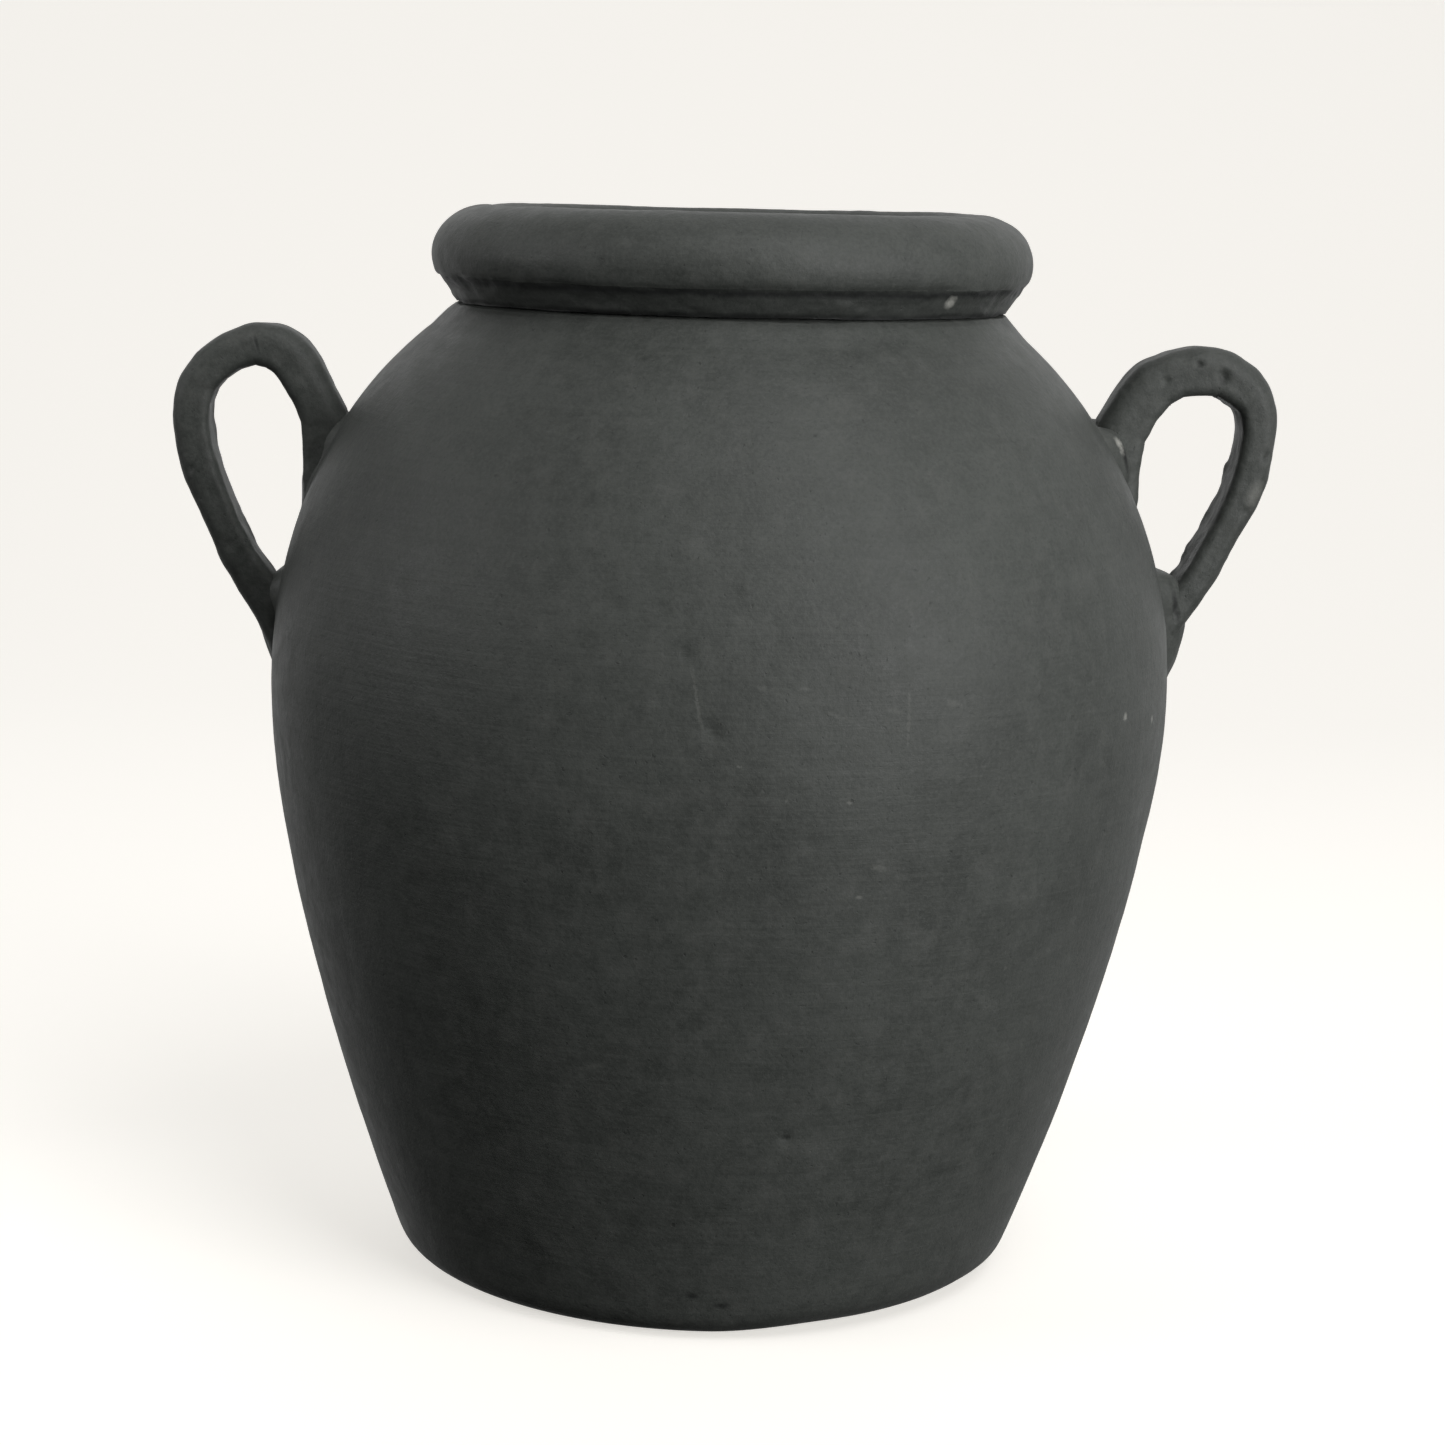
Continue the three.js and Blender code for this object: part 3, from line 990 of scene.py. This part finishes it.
def add_camera():
    data = bpy.data.cameras.new("camera")
    data.lens = LENS
    data.sensor_width = 36.0
    data.clip_start = 0.02
    camera = bpy.data.objects.new("camera", data)
    turned = (
        Matrix.Rotation(math.radians(CAMERA_AZIMUTH - CAMERA_PAN), 4, "Z")
        @ Matrix.Rotation(math.radians(90 - CAMERA_PITCH), 4, "X")
        @ Matrix.Rotation(math.radians(CAMERA_ROLL), 4, "Z")
    )
    place = around(CAMERA_AZIMUTH, CAMERA_DISTANCE, CAMERA_HEIGHT)
    camera.matrix_world = Matrix.Translation(place) @ turned
    bpy.context.scene.collection.objects.link(camera)
    bpy.context.scene.camera = camera


def direction(azimuth, elevation):
    """The unit vector towards an azimuth and elevation in degrees."""
    turned, raised = math.radians(azimuth), math.radians(elevation)
    return Vector((
        math.sin(turned) * math.cos(raised), -math.cos(turned) * math.cos(raised), math.sin(raised),
    ))


def softbox(name, azimuth, elevation, power):
    """A square area light aimed at the middle of the jar."""
    data = bpy.data.lights.new(name, "AREA")
    data.size = SOFTBOX_SIZE * MM
    data.energy = power
    light = bpy.data.objects.new(name, data)
    away = direction(azimuth, elevation)
    place = (Vector((0, 0, JAR_MIDDLE)) + away * SOFTBOX_DISTANCE) * MM
    aim = (-away).to_track_quat("-Z", "Y").to_matrix().to_4x4()
    light.matrix_world = Matrix.Translation(place) @ aim
    bpy.context.scene.collection.objects.link(light)


def pale_surface():
    """A pale, even finish for the floor and backdrop, with a little light of its own."""
    made = Shader("pale_stage")
    surface = made.add("BsdfPrincipled", {
        "Base Color": (0.74, 0.72, 0.69, 1), "Roughness": 0.9,
        "Emission Color": (1, 0.975, 0.925, 1), "Emission Strength": STAGE_GLOW,
    })
    made.add("OutputMaterial", {"Surface": surface})
    return made.material


def add_stage():
    """A floor that curves up into a backdrop behind the jar."""
    bend = np.radians(np.linspace(0, 90, 24))
    curve = WALL_START + WALL_CURVE * np.sin(bend)
    depth = np.concatenate([[-FLOOR_HALF], curve, curve[-1:]])
    height = np.concatenate([[0], WALL_CURVE * (1 - np.cos(bend)), [FLOOR_HALF]])
    left, right = (
        np.stack([np.full(len(depth), x), depth, height], 1) for x in (-FLOOR_HALF, FLOOR_HALF)
    )
    count = len(depth)
    faces = [(i, i + count, i + count + 1, i + 1) for i in range(count - 1)]
    stage = solid("floor_and_backdrop", np.concatenate([left, right]), faces)
    stage.data.materials.append(pale_surface())
    stage.visible_diffuse = False
    stage.visible_glossy = False


def add_world():
    """Light from all round the room: a broad glow towards each azimuth and elevation."""
    world = bpy.data.worlds.new("studio")
    bpy.context.scene.world = world
    world.use_nodes = True
    tree = world.node_tree
    tree.nodes.clear()
    place = tree.nodes.new("ShaderNodeTexCoord").outputs["Generated"]
    total = None
    for azimuth, elevation, strength in GLOWS:
        towards = tree.nodes.new("ShaderNodeVectorMath")
        towards.operation = "DOT_PRODUCT"
        tree.links.new(place, towards.inputs[0])
        towards.inputs[1].default_value = direction(azimuth, elevation)
        reach = tree.nodes.new("ShaderNodeMapRange")
        tree.links.new(towards.outputs["Value"], reach.inputs["Value"])
        reach.inputs["From Min"].default_value = GLOW_EDGE
        reach.inputs["To Max"].default_value = strength
        light = tree.nodes.new("ShaderNodeBackground")
        light.inputs["Color"].default_value = (1, 1, 1, 1)
        tree.links.new(reach.outputs[0], light.inputs["Strength"])
        if total is None:
            total = light.outputs[0]
            continue
        both = tree.nodes.new("ShaderNodeAddShader")
        tree.links.new(total, both.inputs[0])
        tree.links.new(light.outputs[0], both.inputs[1])
        total = both.outputs[0]
    out = tree.nodes.new("ShaderNodeOutputWorld")
    tree.links.new(total, out.inputs["Surface"])


# ---- Assembly ----------------------------------------------------------------------------------

def between(shapes, low, high):
    """The marks that reach into the heights from low to high."""
    return [
        shape for shape in shapes
        if max(shape[0][2], shape[1][2]) > low - 3 and min(shape[0][2], shape[1][2]) < high + 3
    ]


def add_clays():
    """The material of each part of the jar. A material with all of the walls' marks would be too
    big for the renderer, so each wall has only the marks in its own heights."""
    wall = {"dust_share": 0.25, "wiping": 1.0}
    heights = {"lower_wall": (FOOT_TOP, SEAM), "shoulder": (SEAM, NECK_HEIGHT)}
    # Where the lines of painted shade go: the creases under and over the collar, each a height and a
    # width.
    creases = [(NECK_HEIGHT + 0.5, 1.5), (COLLAR_TOP - 0.6, 1.5)]
    clays = {
        part: clay(
            "black_clay_" + part, **wall,
            chips=between(WALL_DUST, *span), scratches_and_hollow_shade=between(WALL_SCRATCHES_AND_HOLLOW_SHADE, *span),
        )
        for part, span in heights.items()
    }
    foot_scratches = between(WALL_SCRATCHES_AND_HOLLOW_SHADE, 0, FOOT_TOP)
    clays["foot"] = clay("black_clay_foot", **wall, chips=[], scratches_and_hollow_shade=foot_scratches)
    clays["rim"] = clay("black_clay_rim", 0.25, 0.5, [], RIM_SCRATCHES)
    # The collar faces down under the rim. It is darkened a quarter of the way to the darkest tone as
    # painted shade of its shadowed recess, with painted shade along its creases.
    clays["collar"] = clay("black_clay_collar_painted_shade", 0.1, 0.5, RIM_CHIPS, [], 0.25, creases)
    clays["handles"] = clay("black_clay_handles", 0.3, 0.0, HANDLE_CHIPS, HANDLE_SCRATCHES_AND_HOLLOW_SHADE)
    return clays


# Cuts in the right handle's wads: start and end as x, y and height, then radius and depth.
SLIT = ((112.0, -10.8, 241.8), (117.0, -10.4, 228.5), 0.8, 2.6)
CREASE = ((129.3, -10.0, 200.5), (133.0, -10.0, 186.0), 1.2, 3.2)

# Each wad: side, height, reach up and down, half its width, thickness and any cut.
WADS = {
    "left_upper_wad": (-1, 231, 14, 24, 15, 4.2),
    "left_lower_wad": (-1, 186, 16, 24, 14, 4.2),
    "right_upper_wad": (1, 236, 13, 18, 18, 6.0, SLIT),
    "right_lower_wad": (1, 191, 17, 38, 16, 7.4, CREASE),
}


def named_wad(name):
    return wad(name, *WADS[name])


def add_pieces():
    """Every piece with the CAD node that it stands for and its material."""
    clays = add_clays()
    pieces = {
        "base_disc": (base_disc(), "foot"),
        "lower_wall": (lower_wall(), "lower_wall"),
        "shoulder_wall": (shoulder_wall(), "shoulder"),
        "neck_collar": (neck_collar(), "collar"),
        "rim_roll": (rim_roll(), "rim"),
        "left_handle": (strap("left_strap", -1, LEFT_STRAP, LEFT_PITS, 0.30), "handles"),
        "left_handle_upper_wad": (named_wad("left_upper_wad"), "handles"),
        "left_handle_lower_wad": (named_wad("left_lower_wad"), "handles"),
        "right_handle": (strap("right_strap", 1, RIGHT_STRAP, RIGHT_PITS, 0.60), "handles"),
        "right_handle_upper_wad": (named_wad("right_upper_wad"), "handles"),
        "right_handle_lower_wad": (named_wad("right_lower_wad"), "handles"),
    }
    for node, (piece, part) in pieces.items():
        piece.data.materials.append(clays[part])
        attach(piece, "root")
        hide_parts(node)


add_pieces()
add_stage()
add_world()
for light_name, settings in SOFTBOXES.items():
    softbox(light_name, *settings)
add_camera()
bpy.context.scene.view_settings.view_transform = "Standard"
